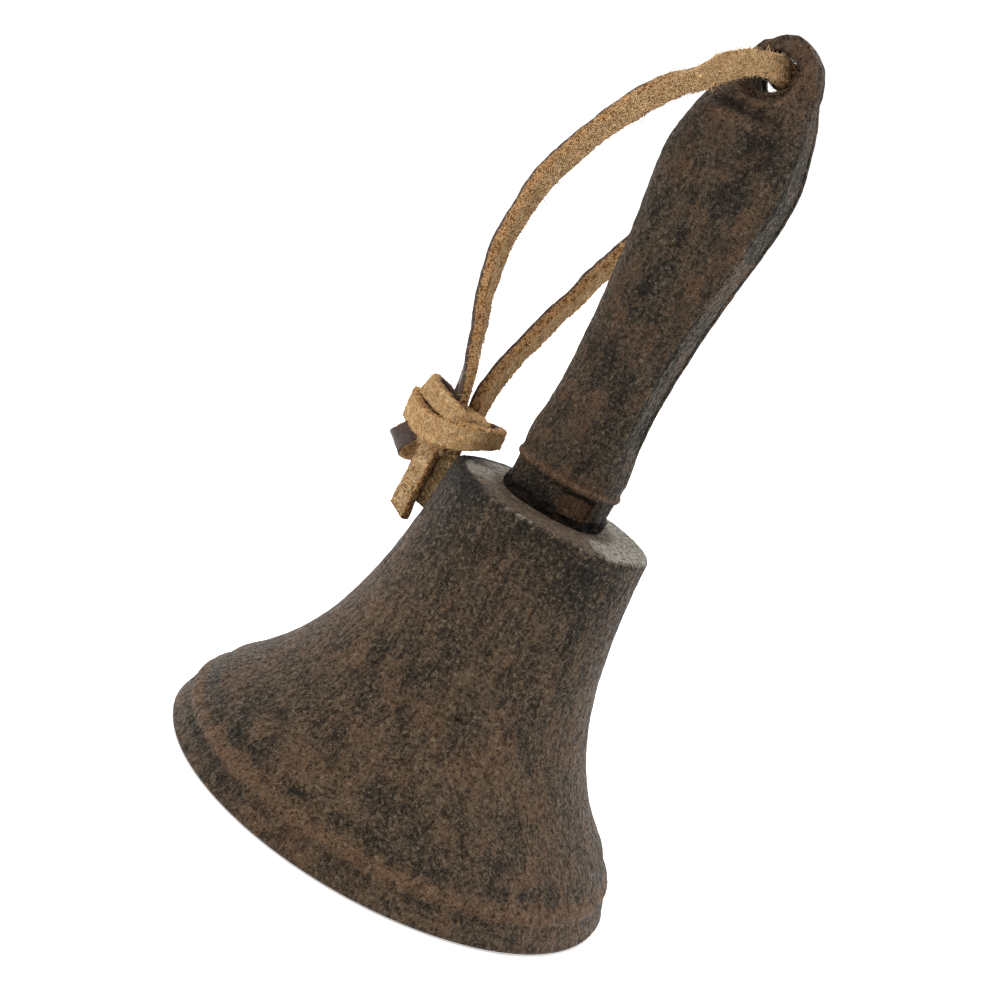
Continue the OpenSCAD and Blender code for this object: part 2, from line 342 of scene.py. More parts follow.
def aged_steel(name, bright, rust_share):
    """Drawn or turned steel, dulled, with rust in spots and fine scratches along it."""
    p = Paint(name, Metallic=0.85, IOR=1.6)
    scratches = p.grain(0.5 * mm, 4, 0.7, place=p.stretched(1, 1, 0.12))
    spots = p.grain(2.2 * mm, 5, 0.65)
    rust = p.between(spots, 0.62 - rust_share, 0.72 - rust_share)
    metal = p.mix(scratches, colour(*(0.72 * v for v in bright)), colour(*bright))
    brown = p.mix(p.grain(0.7 * mm, 3), colour(62, 38, 24), colour(112, 70, 42))
    p.link(p.mix(rust, metal, brown), "Base Color")
    p.link(p.plus(p.times(rust, 0.3), p.between(scratches, 0.3, 0.7, 0.38, 0.55)), "Roughness")
    p.link(p.bump(p.plus(scratches, rust), 0.04 * mm), "Normal")
    return p.material


def suede(name, dark, light, pale):
    """The flesh side of the leather: tan, napped, with pale fibres lying across it."""
    p = Paint(name, Metallic=0.0, Specular_IOR_Level=0.12)
    nap = p.grain(0.75 * mm, 4, 0.7, 1.5)
    blotch = p.grain(3.5 * mm, 3)
    strands = p.cells(0.8 * mm, place=p.stretched(1, 1, 0.4), feature="DISTANCE_TO_EDGE")
    face = p.mix(p.between(nap, 0.36, 0.62), colour(*dark), colour(*light))
    face = p.mix(p.between(blotch, 0.35, 0.7, 0.0, 0.3), face, colour(168, 122, 74))
    face = p.mix(p.between(strands, 0.0, 0.10, 0.6, 0.0), face, colour(*pale))
    p.link(face, "Base Color")
    p.link(p.between(nap, 0.3, 0.7, 0.85, 0.98), "Roughness")
    p.link(p.bump(p.plus(nap, p.between(strands, 0.0, 0.1, 0.4, 0.0)), 0.6 * mm), "Normal")
    return p.material


def cut_edge(name, dark, light):
    """The cut side of the strip, browner and full of short fibres along it."""
    p = Paint(name, Metallic=0.0, Specular_IOR_Level=0.12)
    nap = p.grain(0.6 * mm, 4, 0.7, 1.2)
    face = p.mix(p.between(nap, 0.38, 0.62), colour(*dark), colour(*light))
    p.link(face, "Base Color")
    p.link(p.between(nap, 0.3, 0.7, 0.8, 0.95), "Roughness")
    p.link(p.bump(nap, 0.7 * mm), "Normal")
    return p.material


def grain_side(name):
    """The smooth outer side of the leather, a dark grey-brown with fine creases."""
    p = Paint(name, Metallic=0.0, Specular_IOR_Level=0.3)
    creases = p.cells(1.1 * mm, feature="DISTANCE_TO_EDGE")
    tone = p.grain(2.5 * mm, 4)
    face = p.mix(tone, colour(48, 34, 27), colour(92, 74, 64))
    face = p.mix(p.between(creases, 0.0, 0.06, 0.5, 0.0), face, colour(38, 26, 20))
    p.link(face, "Base Color")
    p.link(p.between(tone, 0.3, 0.7, 0.42, 0.6), "Roughness")
    p.link(p.bump(p.between(creases, 0.0, 0.12), 0.05 * mm), "Normal")
    return p.material


def fibre(name):
    """Loose fibres of the flesh side."""
    p = Paint(name, Metallic=0.0, Roughness=0.9, Specular_IOR_Level=0.2)
    p.link(p.mix(p.grain(2 * mm, 2), colour(150, 102, 54), colour(242, 212, 164)), "Base Color")
    return p.material


SUEDE, CUT, GRAIN, FIBRE = range(4)
LEATHER = [suede("leg_suede", (92, 54, 22), (240, 198, 144), (250, 224, 180)),
           cut_edge("leg_cut_edge", (92, 54, 24), (222, 170, 114)),
           grain_side("grain_side"), fibre("fibre")]
KNOT_LEATHER = [suede("knot_suede", (146, 102, 56), (236, 192, 136), (250, 224, 178)),
                cut_edge("knot_cut_edge", (112, 72, 36), (226, 178, 120)),
                *LEATHER[GRAIN:]]


# --- Thong ---

STRIP_WIDTH, STRIP_THICK = 4.2 * mm, 2.2 * mm
ROW_GAP = 0.42 * mm

# The front leg, from the middle of the eye round the left of the handle
FRONT_ROUTE = [
    (-0.0015, 0, 0.1502), (-0.0019, -0.003, 0.1503), (-0.0032, -0.0059, 0.1498),
    (-0.0054, -0.0079, 0.1484), (-0.008, -0.0088, 0.146), (-0.0105, -0.009, 0.143),
    (-0.0135, -0.0095, 0.1405), (-0.0175, -0.009, 0.1365), (-0.0215, -0.008, 0.1315),
    (-0.025, -0.0075, 0.126), (-0.0285, -0.0065, 0.1195), (-0.0305, -0.006, 0.1145),
    (-0.0315, -0.0055, 0.1085), (-0.032, -0.0055, 0.1025), (-0.0315, -0.005, 0.097),
    (-0.0305, -0.0045, 0.091), (-0.029, -0.004, 0.0865), (-0.028, -0.0035, 0.082),
    (-0.027, -0.003, 0.0785), (-0.0265, -0.0025, 0.075), (-0.026, -0.002, 0.071)]

# The back leg, from the middle of the eye down behind the handle
BACK_ROUTE = [
    (-0.0015, 0, 0.1502), (-0.0015, 0.003, 0.1503), (-0.0019, 0.0058, 0.1497),
    (-0.0025, 0.0083, 0.1474), (-0.0035, 0.0097, 0.144), (-0.005, 0.0105, 0.14),
    (-0.007, 0.011, 0.1345), (-0.0095, 0.0115, 0.1285), (-0.012, 0.0115, 0.1225),
    (-0.0145, 0.011, 0.117), (-0.0165, 0.0105, 0.112), (-0.018, 0.01, 0.1075),
    (-0.0195, 0.009, 0.103), (-0.0205, 0.0085, 0.0985), (-0.022, 0.0075, 0.094),
    (-0.023, 0.0065, 0.089), (-0.024, 0.005, 0.084), (-0.0245, 0.0035, 0.079),
    (-0.0245, 0.0025, 0.075), (-0.024, 0.002, 0.071)]

FRONT_TAIL = [(-0.0264, -0.003, 0.064), (-0.0264, -0.003, 0.060), (-0.0264, -0.003, 0.056),
              (-0.0264, -0.003, 0.052), (-0.0262, -0.003, 0.0485)]
BACK_TAIL = [(-0.0246, 0.0005, 0.064), (-0.0244, 0.0005, 0.060), (-0.0244, 0.0005, 0.056),
             (-0.0244, 0.0005, 0.051)]


def smooth_line(route, spacing):
    """A smooth line through the route's points, and how far along the route each point is, 0 to 1."""
    p = np.array(route, float)
    last = len(p) - 1
    line, along = [], []
    for i in range(last):
        a, b, c, d = p[max(i - 1, 0)], p[i], p[i + 1], p[min(i + 2, last)]
        count = max(1, round(float(np.linalg.norm(c - b)) / spacing))
        for t in np.arange(count) / count:
            line.append((2 * b + (c - a) * t + (2 * a - 5 * b + 4 * c - d) * t ** 2
                         + (3 * b - a - 3 * c + d) * t ** 3) / 2)
            along.append((i + t) / last)
    return np.array(line + [p[-1]]), np.array(along + [1.0])


def ways_along(line):
    return unit(np.gradient(line, axis=0))


def squared(flats, line):
    """The directions, each turned square to the line."""
    ways = ways_along(line)
    return unit(flats - (flats * ways).sum(1)[:, None] * ways)


def carried_flats(line, along, first, twist):
    """The flat side's direction along the line: carried without turning, then twisted evenly."""
    ways = ways_along(line)
    flat, flats = np.array(first, float), []
    for way in ways:
        flat = unit(flat - flat @ way * way)
        flats.append(flat)
    flats = np.array(flats)
    a = np.radians(twist) * along[:, None]
    return np.cos(a) * flats + np.sin(a) * np.cross(ways, flats)


def guided_flats(line, along, guides):
    """The flat side's direction along the line, blended between the guides' directions."""
    at = np.linspace(0, 1, len(guides))
    return squared(np.stack([np.interp(along, at, axis) for axis in zip(*guides)], 1), line)


def inward_flats(line):
    """The flat side's direction along the line, towards the middle of the knot."""
    return squared((KNOT_MIDDLE - line) * (1, 1, 0.4), line)


def strip_outline():
    """Points round a cut across the strip, as (side, flat), and what each stretch between them is.

    The grain side's dark colour reaches a little way down the cut edges, partly as dye and partly as a
    line of painted shade."""
    corner = 0.35 * mm
    w, t = STRIP_WIDTH / 2 - corner, STRIP_THICK / 2 - corner
    centres = np.array([(w, t), (-w, t), (-w, -t), (w, -t)])
    points, zones = [], []
    for side, (zone, count) in enumerate(((GRAIN, 9), (CUT, 5), (SUEDE, 13), (CUT, 5))):
        here, beyond = centres[side], centres[(side + 1) % 4]
        first, second, third = arc(here, corner, 90 * side, 90 * side + 90, 3)
        points += [first, second, *(third + s * (beyond - here) for s in np.arange(count) / count)]
        zones += [GRAIN if side < 2 else CUT] * 2 + [zone] * count
        if side == 1:
            zones[-count] = GRAIN
    zones[-1] = GRAIN
    return np.array(points), np.array(zones)


def strip(line, flats, widths=1.0, slant=0.0, seed=0.0, swell=1.0):
    """A strip of leather along a line, as points, faces and zones. Its flat direction is the grain side.

    widths and swell scale its width and its thickness along the line, and slant cuts its far end at
    an angle."""
    outline, zones = strip_outline()
    ways = ways_along(line)
    sides = np.cross(ways, flats)
    rows, columns = len(line), len(outline)
    wide, deep = (np.broadcast_to(v, rows)[:, None, None] for v in (widths, swell))
    co = line[:, None] + outline[:, :1] * wide * sides[:, None] + outline[:, 1:] * deep * flats[:, None]
    if slant:
        ending = step(np.arange(rows), rows - 12, rows - 1)[:, None, None]
        co += ending * slant * (outline[:, :1] / STRIP_WIDTH) * ways[:, None]
    out = unit(co - line[:, None])
    flat_co = co.reshape(-1, 3)
    coarse = rough(flat_co, 2.4 * mm, 2, seed).reshape(rows, columns)
    fine = rough(flat_co, 0.7 * mm, 2, seed + 9).reshape(rows, columns)
    nap = np.where(zones == GRAIN, 0.25, np.where(zones == SUEDE, 1.0, 0.8))
    co += out * ((0.16 * coarse + 0.20 * fine * nap) * mm)[..., None]
    points = np.concatenate([co.reshape(-1, 3), co[[-1, 0]].mean(1)])
    last, middles = (rows - 1) * columns, rows * columns
    caps = []
    for j in range(columns):
        k = (j + 1) % columns
        caps += [(last + j, last + k, middles), (k, j, middles + 1)]
    faces = [*grid_faces(rows, columns).tolist(), *caps]
    return points, faces, [*np.tile(zones, rows - 1).tolist(), *[CUT] * len(caps)]


def fibres(shape, count, length, lift=0.8, share=1.0):
    """Loose fibres that stand out of a strip's suede and cut sides, as points, faces and zones.

    share is how much of the strip they cover, from its start."""
    thick = 0.095 * mm
    points, faces, kinds = shape
    reach = int(share * len(faces))
    quads = np.array([f for f, kind in zip(faces[:reach], kinds[:reach])
                      if len(f) == 4 and kind in (SUEDE, CUT)])
    a, b, c, d = (points[quads[:, i]] for i in range(4))
    out = unit(np.cross(c - a, d - b))
    area = np.linalg.norm(np.cross(c - a, d - b), axis=1)
    pick = rng.choice(len(quads), count, p=area / area.sum())
    root = (a + b + c + d)[pick] / 4 - out[pick] * 0.1 * mm
    way = out[pick] * lift * rng.uniform(0.2, 1.3, (count, 1))
    way = unit(way + unit(rng.normal(size=(count, 3))) * 0.8)
    way += out[pick] * np.maximum(0, 0.1 - (way * out[pick]).sum(1))[:, None]
    bend = unit(rng.normal(size=(count, 3))) * 0.5
    size = rng.uniform(0.4, 1.0, (count, 1)) ** 1.5 * length
    across = unit(np.cross(way, rng.normal(size=(count, 3))))
    beside = np.cross(unit(way), across)
    rings = []
    for t in (0.0, 0.35, 0.7, 1.0):
        middle = root + size * (t * way + t * t * bend)
        radius = thick * (1 - 0.75 * t)
        for turn in np.radians((0, 120, 240)):
            rings.append(middle + radius * (math.cos(turn) * across + math.sin(turn) * beside))
    co = np.stack(rings, 1).reshape(-1, 3)
    one = grid_faces(4, 3)
    faces = (one[None] + 12 * np.arange(count)[:, None, None]).reshape(-1, 4)
    return co, faces.tolist(), [FIBRE] * len(faces)


def leather_piece(name, *shapes, materials=LEATHER):
    """One piece from several strips and their fibres."""
    points, faces, zones = [], [], []
    for co, some, kinds in shapes:
        start = sum(len(p) for p in points)
        points.append(co)
        faces += [[start + i for i in f] for f in some]
        zones += list(kinds)
    piece = build(name, np.concatenate(points), faces, zones, materials)
    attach(piece, "thong")
    return piece


def add_leg(name, route, first, twist, seed, count):
    """One leg of the thong, which is bunched up in the eye and most frayed near it."""
    line, along = smooth_line(route, ROW_GAP)
    flats = carried_flats(line, along, first, twist)
    widths = 1 + 0.05 * np.sin(along * 37 + seed) - 0.08 * hump(along, 0.27, 0.05)
    widths += 0.2 * (1 - step(along, 0.02, 0.08)) - 0.06 * (1 - step(along, 0.10, 0.24))
    swell = 1.12 + 0.25 * (1 - step(along, 0.01, 0.06))
    shape = strip(line, flats, widths, seed=seed, swell=swell)
    leg = leather_piece(name, shape, fibres(shape, count, 1.8 * mm),
                        fibres(shape, 2200, 1.9 * mm, lift=0.9, share=0.22))
    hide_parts(name)
    return leg, line


front_leg, front_line = add_leg("thong_front", FRONT_ROUTE, (-0.85, 0, -0.53), -140, 1.0, 5200)
back_leg, back_line = add_leg("thong_back", BACK_ROUTE, (-0.92, 0, 0.397), 2, 5.0, 4200)


def add_tails():
    shapes = []
    for route, flat, slant, seed in ((FRONT_TAIL, (0.1, 0.99, 0), 1.8 * mm, 3.0),
                                     (BACK_TAIL, (-0.41, 0.91, 0), 1.0 * mm, 6.0)):
        line, along = smooth_line(route, ROW_GAP)
        shape = strip(line, carried_flats(line, along, flat, 0), slant=slant, seed=seed)
        shapes += [shape, fibres(shape, 420, 1.0 * mm)]
    tails = leather_piece("thong_tails", *shapes)
    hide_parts("thong_tails")
    return tails


# Each turn of the knot: the line of its middle in mm, its width and its thickness as shares of the
# strip's, how much of its width it loses towards its end, and the way its grain side faces at even
# steps along it, or None where it faces the knot's middle
KNOT_MIDDLE = np.array((-0.0262, -0.0004, 0.0676))
KNOT_TURNS = [
    # the upper turn, from a fold at the upper left down across the front
    ([(-30, 3, 70), (-33.8, 1.6, 71.2), (-34.2, -0.8, 71.4), (-32, -3.2, 71.5), (-28.4, -4.7, 71),
      (-25, -5.6, 70.5), (-22.4, -5.3, 69.9), (-20.2, -3.2, 68.6), (-20.5, 0, 67.5)],
     1.02, 0.8, 0.15, None),
    # the main turn, from the left corner across the front to the fold at the right, and behind
    ([(-31, 4, 67), (-34.7, 2.2, 66.8), (-35.8, -0.2, 66.7), (-32.9, -3.2, 66.3), (-28.8, -4.8, 65.7),
      (-24.6, -5.6, 66.2), (-20.7, -5.4, 67.6), (-18.1, -4.4, 68.8), (-16.5, -1.8, 69.5),
      (-17.2, 1.2, 69.8), (-20.5, 3.2, 69.5)],
     1.4, 1.0, 0.42, None),
    # the loop below the left corner, which shows its grain side
    ([(-30.6, -1.2, 65.2), (-31.5, -2.6, 63.4), (-32.4, -3.2, 61.9), (-33.6, -3, 60.3),
      (-34.4, -1.6, 59.1), (-34, 0.2, 58.4), (-32.2, 1.2, 58.6), (-29, 1, 61)],
     0.98, 0.6, 0.0,
     [(0.4, -0.9, 0.1), (0.4, -0.9, 0.1), (0.38, -0.92, 0.0), (0.2, -0.95, -0.2),
      (-0.5, -0.6, -0.7), (-0.5, 0.5, -0.8), (0, 1, -0.5), (0.1, 1, -0.2)]),
    # a turn round the back that ties the upper and the main one
    ([(-22, 3.6, 68.2), (-24.5, 5, 68), (-28.5, 5.2, 68.4), (-32.5, 3, 69.5)], 1.1, 0.8, 0.0, None),
    # the end that comes out under the main turn, over the tails
    ([(-31, -1.5, 64), (-29.2, -3, 62.8), (-26.6, -3.6, 62.6), (-24, -2.8, 63.4)], 0.55, 0.8, 0.0, None)]


def knot_core():
    """The leather packed inside the turns: a lump, as points, faces and zones."""
    columns, rows = 48, 24
    long, tall, deep = 8.6 * mm, 3.9 * mm, 3.3 * mm
    along, above, behind = np.array(((0.97, 0.0, 0.24), (-0.24, 0.0, 0.97), (0, 1, 0)))
    turn = np.arange(columns) * 2 * np.pi / columns
    tilt = np.radians(np.linspace(-88, 88, rows))[:, None]
    co = (KNOT_MIDDLE + long * np.sin(tilt)[..., None] * along
          + tall * (np.cos(tilt) * np.sin(turn))[..., None] * above
          + deep * (np.cos(tilt) * np.cos(turn))[..., None] * behind).reshape(-1, 3)
    co += unit(co - KNOT_MIDDLE) * (0.6 * mm * rough(co, 2.5 * mm, 3, 40.0))[:, None]
    faces = grid_faces(rows, columns).tolist()
    faces += [list(range(columns)), list(range((rows - 1) * columns, rows * columns))[::-1]]
    return co, faces, [SUEDE] * len(faces)


def add_knot():
    shapes = [knot_core()]
    for number, (route, width, depth, narrow, guides) in enumerate(KNOT_TURNS):
        line, along = smooth_line(np.array(route) * mm, ROW_GAP)
        flats = guided_flats(line, along, guides) if guides else inward_flats(line)
        widths = width * (1 + 0.05 * np.sin(along * 9 + number)) * (1 - narrow * step(along, 0.46, 0.84))
        swell = depth * (1 + 1.3 * narrow * hump(along, 0.68, 0.12))
        shape = strip(line, flats, widths, seed=10.0 + number, swell=swell)
        shapes += [shape, fibres(shape, 900, 1.2 * mm)]
    knot = leather_piece("thong_knot", *shapes, materials=KNOT_LEATHER)
    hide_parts("thong_knot")
    return knot


tails = add_tails()
knot = add_knot()


# --- Bell ---

MOUTH_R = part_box("bell")[1].x
CROWN_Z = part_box("bell")[1].z
THROAT_R, FLARE_LENGTH, LIP_HEIGHT = 18.6 * mm, 18.7 * mm, 10.4 * mm
WALL, LIP_WALL, CROWN_THICK, BEAD_Z = 4 * mm, 4.5 * mm, 4.7 * mm, 6.2 * mm
BOLT_HOLE_R = 3.3 * mm


def lip_radius(z):
    return MOUTH_R - 0.2 * z - 26.5 * z * z


def flare(z, at_lip, at_throat):
    return at_throat + (at_lip - at_throat) * np.exp(-(z - LIP_HEIGHT) / FLARE_LENGTH)


def outer_radius(z):
    """The outside of the wall, with the bead round the lip and a groove above and below the bead."""
    wall = np.where(z < LIP_HEIGHT, lip_radius(z), flare(z, lip_radius(LIP_HEIGHT), THROAT_R))
    bead = 0.62 * mm * hump(z, BEAD_Z, 0.8 * mm)
    above = 0.3 * mm * hump(z, BEAD_Z + 2.1 * mm, 1.1 * mm)
    below = 0.2 * mm * hump(z, BEAD_Z - 1.9 * mm, 0.9 * mm)
    return wall + bead - above - below


def inner_radius(z):
    """The inside of the wall. A level cut through it is longer at the lip, where the wall slants."""
    at_mouth, at_lip = MOUTH_R - LIP_WALL, lip_radius(LIP_HEIGHT) - 1.38 * WALL
    low = at_mouth + (at_lip - at_mouth) * z / LIP_HEIGHT
    return np.where(z < LIP_HEIGHT, low, flare(z, at_lip, THROAT_R - WALL))


def bell_profile():
    """The closed outline of the bell's wall, as (radius, height)."""
    under, edge, inside = CROWN_Z - CROWN_THICK, 0.8 * mm, 3 * mm
    z = np.linspace(CROWN_Z - edge, edge + 0.2 * mm, 400)
    outside = np.concatenate([
        arc((outer_radius(z[0]) - edge, CROWN_Z - edge), edge, 90, 0, 16),
        np.stack([outer_radius(z), z], 1),
        arc((MOUTH_R - edge, edge), edge, 0, -90, 8)])
    inner_z = np.linspace(edge, under - inside, 200)
    hidden = np.concatenate([
        arc((MOUTH_R - LIP_WALL + edge, edge), edge, -90, -180, 6),
        np.stack([inner_radius(inner_z), inner_z], 1),
        arc((inner_radius(inner_z[-1]) - inside, under - inside), inside, 0, 90, 10),
        [[BOLT_HOLE_R, under]]])
    top = np.array([[BOLT_HOLE_R, CROWN_Z], [outside[0][0], CROWN_Z]])
    land = np.array([outside[-1], hidden[0]])
    parts = ((top, 0.85 * mm), (outside, 0.62 * mm), (land, 0.9 * mm), (hidden, 1.9 * mm))
    hole = np.array([[BOLT_HOLE_R, under], [BOLT_HOLE_R, under + 2.3 * mm]])
    return np.concatenate([resampled(p, gap)[:-1] for p, gap in parts] + [hole])


# Dark patches on the bell: angle from the right, height, half width and half height in mm, turn
# in degrees, strength
BELL_SOOT = [
    # round the crown and the neck
    (-34, 60, 5, 5, 0, 1.0), (-80, 62.5, 6, 3, 0, 0.8), (-128, 63.6, 9, 2.6, 0, 1.5),
    (-62, 61, 4, 3, 0, 0.5), (-112, 62, 8, 2.5, 0, 0.6), (-25, 50, 1.6, 7, 0, 0.8),
    # streaks and spots down the front
    (-100, 31, 1.6, 4, 25, 0.9), (-94, 24, 1.5, 4, 30, 0.9), (-89, 18, 1.6, 3.5, 35, 0.9),
    (-83, 31, 1.6, 5, 20, 0.8), (-77, 25, 2, 5, 30, 0.8), (-93, 47, 2, 6, 0, 0.5),
    (-77, 40, 2.5, 2.5, 0, 0.8), (-112, 20, 3, 2, 0, 0.8), (-122, 14, 7, 2.5, 10, 0.7),
    # the skirt and the lip
    (-104, 3, 6, 1.8, 0, 0.9), (-64, 14, 9, 3, 0, 0.6), (-40, 12, 14, 2.2, 0, 0.6),
    (-20, 10, 12, 2, 0, 0.8), (-28, 18, 4, 2, 0, 0.7), (-21, 42, 1.6, 5, 0, 0.7),
    (-38, 40, 4, 4, 0, 0.4), (-30, 30, 3, 7, 0, 0.5), (-110, 3.6, 14, 1.2, 0, 0.7),
    (-45, 2.8, 20, 1.1, 0, 0.4), (-130, 20, 4, 3, 0, 0.5),
    # the back
    (60, 20, 8, 10, 20, 0.7), (110, 40, 5, 9, 0, 0.7), (150, 12, 12, 3, 0, 0.8), (85, 58, 8, 5, 0, 0.7),
    (30, 30, 3, 8, 10, 0.6), (10, 55, 5, 6, 0, 0.6), (170, 30, 5, 6, 30, 0.6), (20, 9, 12, 2, 0, 0.6)]

# Small holes in the casting: angle, height, half width and depth in mm
BELL_PITS = [(-58.5, 29.5, 0.75, 0.9), (-90, 14, 0.4, 0.4), (-128, 51, 0.5, 0.4), (-77, 41, 0.5, 0.4),
             (75, 33, 0.7, 0.8), (140, 22, 0.6, 0.6), (15, 47, 0.5, 0.5), (-30, 36, 0.4, 0.4)]

# Painted glints on the edge of the crown: angle and size in mm
CROWN_GLINTS = [(-86, 0.35), (-79, 0.5), (-77, 0.4), (-72, 0.35), (-43, 0.3)]

# Angles of the middles of the crown's dark edge, which is painted shade, and of its brown side, which
# carries a stain and painted shade from the handle
SHADE_ANGLE, STAIN_AND_SHADE_ANGLE = 200, -78


def along_surface(points, angle, height):
    """How far points of the bell lie beside and above a place on it, in mm along its wall.

    The wall is longer than it is tall, most of all in the flared skirt."""
    turn = np.degrees(np.arctan2(points[:, 1], points[:, 0])) - angle
    turn = (turn + 180) % 360 - 180
    longer = np.where(points[:, 2] < 25 * mm, 1.5, 1.15)
    return np.radians(turn) * radius_of(points) / mm, (points[:, 2] / mm - height) * longer


def patch(across, up, strength):
    """A patch of soot, at points that lie this many of its half sizes across and up from its middle."""
    return strength * np.exp(-(across * across + up * up) / 1.4)


def bell_relief(points, outside, lumps, waves):
    """How far each point of the bell stands out, in mm: the sand's grain, swellings and small holes.

    The mouth's edge and the hole for the bolt stay true."""
    relief = 0.085 * rough(points, 1.5 * mm, 3) + 0.07 * lumps + 0.10 * waves
    for angle, up, size, depth in BELL_PITS:
        side, above = along_surface(points, angle, up)
        relief -= depth * np.exp(-((side / size) ** 2 + (above / (0.6 * size)) ** 2) ** 1.5) * outside
    relief *= step(points[:, 2], 0.2 * mm, 1.2 * mm)
    return relief * step(radius_of(points), 4 * mm, 8 * mm)


def bell_soot(points, outside, lumps, waves):
    """Soot in patches, darker bands under the crown's edge and above the bead, painted shade in the
    groove under the bead, and darker all over the neck.
    """
    z = points[:, 2]
    patches = np.zeros(len(points))
    for angle, up, wide, tall, turn, strength in BELL_SOOT:
        side, above = along_surface(points, angle, up)
        c, s = math.cos(math.radians(turn)), math.sin(math.radians(turn))
        spot = patch((side * c + above * s) / wide, (above * c - side * s) / tall, strength)
        patches = np.maximum(patches, spot)
    return np.maximum.reduce([
        patches * outside * (0.65 + 0.35 * step(z, 38 * mm, 52 * mm)),
        0.9 * hump(z, CROWN_Z - 1.2 * mm, 1.4 * mm) * step(rough(points, 5 * mm), -0.6, 0.0),
        (0.55 + 0.5 * lumps) * hump(z, BEAD_Z + 2.9 * mm, 1.6 * mm) * outside,
        # painted shade in the groove under the bead
        (0.45 + 0.5 * lumps) * hump(z, BEAD_Z - 2.0 * mm, 0.7 * mm) * outside,
        (0.62 + 0.3 * lumps) * step(z + 6 * mm * waves, 40 * mm, 60 * mm) * outside])


# painted glints along the crown's edge
def crown_glints(points, crown_r):
    glints = np.zeros(len(points))
    for angle, size in CROWN_GLINTS:
        side, above = along_surface(points, angle, CROWN_Z / mm - 0.2)
        inwards = (radius_of(points) - crown_r) / mm + 0.3
        glints = np.maximum(glints, hump(np.hypot(side, np.hypot(inwards, above)), 0, size))
    return glints


def add_bell():
    bell, points = lathe("bell", bell_profile(), 500,
                         cast_iron("bell_cast_iron", "flow", 0.52, streaky=1.5))
    mesh = bell.data
    rad, z = radius_of(points), points[:, 2]
    outside = rad > (outer_radius(z) + inner_radius(z)) / 2
    lumps = rough(points, 6 * mm, 2, 4.0)
    waves = rough(points, 26 * mm, 2, 8.0)
    move_out(mesh, bell_relief(points, outside, lumps, waves) * mm)

    # the crown is dusty and has a painted sheen, except round the handle and on its brown side, where a
    # stain and painted shade lie, and along its dark edge, which is painted shade
    crown_r = outer_radius(CROWN_Z)
    top = step(z, CROWN_Z - 0.5 * mm, CROWN_Z - 0.1 * mm)
    turn = np.degrees(np.arctan2(points[:, 1], points[:, 0]))
    ragged = rough(points, 4 * mm)
    shade = step(rad + 0.3 * mm * ragged, crown_r - 2.6 * mm, crown_r - 1.7 * mm)
    shade *= step(z, CROWN_Z - 2 * mm, CROWN_Z - 1 * mm)
    shade *= step(np.cos(np.radians(turn - SHADE_ANGLE)), 0.45, 0.65)
    by_handle = 1 - step(rad / mm + 0.8 * lumps, 11.6, 13.4)
    stained_and_shaded = np.maximum(by_handle, step(12 * ragged - np.abs(turn - STAIN_AND_SHADE_ANGLE), -56, -42))
    dust = top * (0.9 - 0.75 * stained_and_shaded) * (1 - shade)

    # the bead is worn brown, with a painted highlight along it
    worn = hump(z, BEAD_Z, 1.1 * mm) * (1.0 + 0.5 * lumps)
    worn = np.maximum(worn, 0.25 * step(waves + 0.4 * lumps, 0.1, 0.5)) * outside
    paint_masks(mesh, soot=np.maximum(bell_soot(points, outside, lumps, waves), 1.4 * shade),
                worn=np.maximum(worn, 0.6 * top * stained_and_shaded) * (1 - shade),
                dust=np.maximum(dust, 1.3 * crown_glints(points, crown_r)))

    # the streaks run down the wall and aren't stretched across the crown
    down = 0.28 * np.where(outside | (z > CROWN_Z - 2 * mm), z + MOUTH_R - rad, -z)
    down += np.where(z > CROWN_Z - 0.6 * mm, 1.8 * np.maximum(crown_r - rad, 0), 0)
    around = 30 * mm * points[:, :2] / rad[:, None]
    paint_flow(mesh, np.column_stack([around, down]))

    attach(bell, "root")
    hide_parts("bell")


add_bell()


# --- Handle ---

FOOT_Z = CROWN_Z
EYE_X, EYE_Z, EYE_R = -1.3 * mm, 149.6 * mm, 3.8 * mm
HEAD_Z = EYE_Z - 1 * mm
HEAD_HEIGHT = (HEAD_Z - FOOT_Z) / mm
HEAD_WIDE, HEAD_DEEP, HEAD_ROUND, HEAD_LEAN = 7.9, 5.0, 1.7, -1.15
POCKET_TURN = 47

# Each station in mm: height over the foot, half width, half depth, half the flat side band,
# roundness, and how far the middle leans off the axis of the bell
STATIONS = np.array([
    (0, 10.0, 9.9, 0.6, 2.0, -0.3), (6, 10.1, 9.7, 0.6, 2.0, -0.3), (7.6, 9.8, 9.3, 0.8, 2.0, -0.35),
    (11, 9.9, 9.0, 1.5, 2.0, -0.45), (17, 8.7, 8.2, 2.3, 2.1, -0.75), (24, 8.1, 7.5, 2.8, 2.2, -0.75),
    (36, 8.5, 7.3, 3.0, 2.3, -0.8), (48, 9.7, 7.5, 3.0, 2.3, -0.8), (58, 11.1, 7.8, 3.0, 2.3, -0.85),
    (66.5, 11.9, 8.0, 3.0, 2.3, -1.0), (73, 11.0, 7.7, 2.8, 2.2, -1.1), (79, 9.5, 6.2, 2.2, 2.0, -1.15),
    (HEAD_HEIGHT, HEAD_WIDE, HEAD_DEEP, 1.0, HEAD_ROUND, HEAD_LEAN)])


